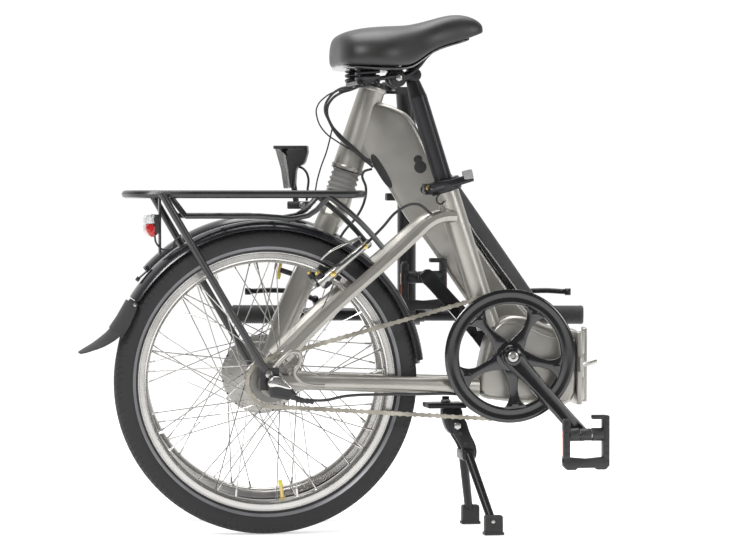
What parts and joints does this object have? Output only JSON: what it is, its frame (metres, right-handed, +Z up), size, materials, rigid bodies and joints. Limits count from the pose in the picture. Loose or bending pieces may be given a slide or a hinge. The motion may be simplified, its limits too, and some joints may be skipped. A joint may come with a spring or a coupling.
{
  "type": "folding bicycle",
  "caption": "Folding electric-assist bicycle in its folded state: wheels side by side, front hub motor, tube battery, rear rack, mudguards, two-legged stand, folding pedals and handlepost.",
  "frame": {"origin": "on the ground under the middle of the folded bicycle's outline", "axes": "+X along the rear half's riding direction, +Y towards the rear half's left side where the front half is folded, +Z up"},
  "size_m": [0.8937, 0.4624, 0.852],
  "materials": {
    "champagne_paint": "satin metallic",
    "black_paint": "satin",
    "black_alloy": "black anodised satin",
    "black_plastic": "satin",
    "grey_plastic": "satin",
    "rubber": "matte",
    "tyre_rubber": "matte",
    "silver": "bright",
    "chain_steel": "oiled",
    "lamp_red": "gloss",
    "saddle_skin": "smooth vinyl"
  },
  "bodies": {
    "rear_frame": {"seat_tube": "champagne_paint", "seat_clamp": "black_alloy", "bottom_bracket_shell": "champagne_paint", "frame_casting": "champagne_paint", "chainstay_left": "champagne_paint", "chainstay_right": "champagne_paint", "seatstay_left": "champagne_paint", "seatstay_right": "champagne_paint", "rear_axle": "silver", "rear_mudguard": "black_plastic", "mudguard_flap": "rubber", "rack_platform": "black_paint", "rack_stay_left": "black_paint", "rack_stay_right": "black_paint", "rear_light": "lamp_red", "chain": "chain_steel", "shift_box": "black_plastic", "stand_bracket": "black_alloy"},
    "clamp_lever": {"seat_clamp_lever": "silver"},
    "seat": {"seatpost": "black_alloy", "saddle_frame": "black_alloy", "saddle": "saddle_skin"},
    "rear_wheel": {"rear_tyre": "tyre_rubber", "rear_rim": "silver", "rear_hub": "silver"},
    "rear_sprocket_body": {"rear_sprocket": "chain_steel"},
    "crankset": {"bottom_bracket_axle": "silver", "chainring": "chain_steel", "chain_guard": "black_alloy", "crank_right": "black_alloy", "crank_left": "black_alloy"},
    "spindle_right": {"pedal_spindle_right": "silver"},
    "spindle_left": {"pedal_spindle_left": "silver"},
    "pedal_right_body": {"pedal_right": "black_plastic"},
    "pedal_left_body": {"pedal_left": "black_plastic"},
    "brake_right": {"brake_arm_right": "black_alloy"},
    "brake_left": {"brake_arm_left": "black_alloy"},
    "stand": {"kickstand": "black_alloy"},
    "latch": {"hinge_latch": "silver"},
    "front_frame": {"main_tube": "champagne_paint", "head_tube": "champagne_paint"},
    "battery_pack": {"battery": "grey_plastic"},
    "steerer": {"stem_base": "black_alloy", "bellows": "rubber"},
    "fork_group": {"fork": "champagne_paint", "headlight": "black_plastic", "front_mudguard": "black_plastic", "front_axle": "silver"},
    "front_wheel": {"front_tyre": "tyre_rubber", "front_rim": "silver", "front_hub": "silver"},
    "stem": {"handlepost": "black_paint", "handlebar": "black_alloy", "grip_right": "rubber", "grip_left": "rubber"},
    "lever_right": {"brake_lever_right": "black_alloy"},
    "lever_left": {"brake_lever_left": "black_alloy"}
  },
  "joints": [
    {"name": "frame_fold", "type": "hinge", "parent": "rear_frame", "child": "front_frame", "pos_m": [0.4021, -0.0627, 0], "axis": [0, 0, -1], "range_deg": [0, 167.5]},
    {"name": "steering", "type": "hinge", "parent": "front_frame", "child": "steerer", "pos_m": [0.07165, 0.06382, 0.7365], "axis": [0.2936, -0.0651, 0.9537], "range_deg": [-3, 30]},
    {"name": "stem_fold", "type": "hinge", "parent": "steerer", "child": "stem", "pos_m": [0.10616, 0.08383, 0.73983], "axis": [0.5341, -0.8384, -0.1082], "range_deg": [0, 167.65]},
    {"name": "suspension", "type": "slide", "parent": "steerer", "child": "fork_group", "axis": [0.2936, -0.0651, 0.9537], "range_m": [0, 0.025], "stiffness_N_per_m": 8000, "springref_m": -0.02, "deforming": ["bellows"]},
    {"name": "front_wheel_spin", "type": "hinge", "parent": "fork_group", "child": "front_wheel", "pos_m": [-0.11385, 0.10494, 0.25], "axis": [-0.2164, -0.9763, 0], "continuous": true},
    {"name": "battery_slide", "type": "slide", "parent": "front_frame", "child": "battery_pack", "axis": [0.804, -0.1782, 0.5673], "range_m": [0, 0.08]},
    {"name": "brake_lever_right_pull", "type": "hinge", "parent": "stem", "child": "lever_right", "pos_m": [-0.00616, 0.19169, 0.37183], "axis": [-0.1965, -0.8864, 0.4191], "range_deg": [0, 10], "stiffness_Nm_per_rad": 0.6, "springref_deg": -17.19},
    {"name": "brake_lever_left_pull", "type": "hinge", "parent": "stem", "child": "lever_left", "pos_m": [0.30626, 0.12243, 0.37183], "axis": [0.1965, 0.8864, -0.4191], "range_deg": [0, 10], "stiffness_Nm_per_rad": 0.6, "springref_deg": -17.19},
    {"name": "rear_wheel_spin", "type": "hinge", "parent": "rear_frame", "child": "rear_wheel", "pos_m": [-0.1379, -0.1147, 0.25], "axis": [0, 1, 0], "continuous": true},
    {"name": "rear_sprocket_spin", "type": "hinge", "parent": "rear_frame", "child": "rear_sprocket_body", "pos_m": [-0.1379, -0.1147, 0.25], "axis": [0, -1, 0], "range_deg": [-30, 420]},
    {"name": "crank_spin", "type": "hinge", "parent": "rear_frame", "child": "crankset", "pos_m": [0.2601, -0.1147, 0.29], "axis": [0, -1, 0], "range_deg": [-8, 150]},
    {"name": "pedal_spin_right", "type": "hinge", "parent": "crankset", "child": "spindle_right", "pos_m": [0.37385, -0.1147, 0.16367], "axis": [0, 1, 0], "continuous": true},
    {"name": "pedal_spin_left", "type": "hinge", "parent": "crankset", "child": "spindle_left", "pos_m": [0.14635, -0.1147, 0.41634], "axis": [0, 1, 0], "continuous": true},
    {"name": "pedal_fold_right", "type": "hinge", "parent": "spindle_right", "child": "pedal_right_body", "pos_m": [0.37385, -0.2222, 0.16367], "axis": [-1, 0, 0], "range_deg": [0, 90]},
    {"name": "pedal_fold_left", "type": "hinge", "parent": "spindle_left", "child": "pedal_left_body", "pos_m": [0.14635, -0.0072, 0.41634], "axis": [1, 0, 0], "range_deg": [0, 30]},
    {"name": "seatpost_slide", "type": "slide", "parent": "rear_frame", "child": "seat", "axis": [-0.3007, 0, 0.9537], "range_m": [0, 0.17]},
    {"name": "seat_clamp_open", "type": "hinge", "parent": "rear_frame", "child": "clamp_lever", "pos_m": [0.1311, -0.1432, 0.56323], "axis": [0, 0, -1], "range_deg": [0, 110]},
    {"name": "hinge_latch_swing", "type": "hinge", "parent": "rear_frame", "child": "latch", "pos_m": [0.3831, -0.1517, 0.274], "axis": [0, 0, -1], "range_deg": [0, 110]},
    {"name": "kickstand_swing", "type": "hinge", "parent": "rear_frame", "child": "stand", "pos_m": [0.1781, -0.1147, 0.174], "axis": [0, 1, 0], "range_deg": [0, 80]},
    {"name": "brake_arm_right_close", "type": "hinge", "parent": "rear_frame", "child": "brake_right", "pos_m": [-0.0479, -0.1547, 0.416], "axis": [-0.6451, 0, 0.7641], "range_deg": [0, 4]},
    {"name": "brake_arm_left_close", "type": "hinge", "parent": "rear_frame", "child": "brake_left", "pos_m": [-0.0479, -0.0747, 0.416], "axis": [0.6451, 0, -0.7641], "range_deg": [0, 4]}
  ],
  "couplings": [
    {"joint": "rear_sprocket_spin", "follows": "crank_spin", "ratio": 2.7368},
    {"joint": "brake_arm_right_close", "follows": "brake_lever_right_pull", "ratio": 0.35},
    {"joint": "brake_arm_left_close", "follows": "brake_lever_right_pull", "ratio": 0.35}
  ]
}
